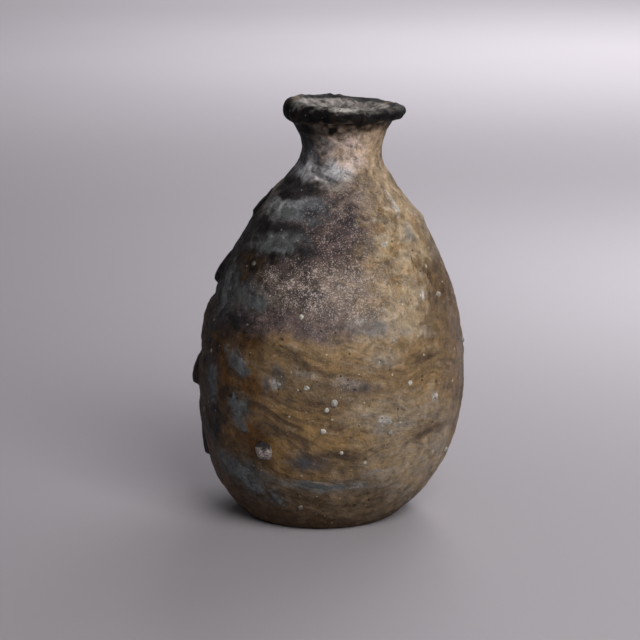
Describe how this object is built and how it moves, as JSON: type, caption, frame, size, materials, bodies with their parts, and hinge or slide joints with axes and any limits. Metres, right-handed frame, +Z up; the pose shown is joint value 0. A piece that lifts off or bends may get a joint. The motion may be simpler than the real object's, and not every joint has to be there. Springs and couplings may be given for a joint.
{
  "type": "sake bottle",
  "caption": "Leaning wood-fired stoneware bottle with a wide belly, sloping shoulder, narrow neck and rolled lip, partly covered by natural ash glaze.",
  "frame": {"origin": "centre of the foot's resting face, on the ground", "axes": "+Z up, +X the side that the bottle leans towards, -Y its front"},
  "size_m": [0.1443, 0.1432, 0.2199],
  "materials": {
    "fired_clay": "dry, coarse and unglazed, brown to charcoal",
    "scorched_rim": "charcoal black, half melted",
    "ash_glaze": "satin golden-brown natural ash glaze with streaks",
    "grey_ash": "matt blue-grey crust of unmelted ash",
    "feldspar": "glassy white feldspar",
    "pebble": "dull pink-grey granular stone",
    "kiln_crumb": "black vitrified crumb"
  },
  "bodies": {
    "root": {"base_slab": "fired_clay", "lower_wall": "fired_clay", "upper_wall": "fired_clay", "neck": "fired_clay", "mouth_rim": "scorched_rim", "ash_glaze": "ash_glaze", "grey_ash_crusts": "grey_ash", "feldspar_grains": "feldspar", "fused_pebble": "pebble", "kiln_lumps": "kiln_crumb"}
  },
  "joints": []
}
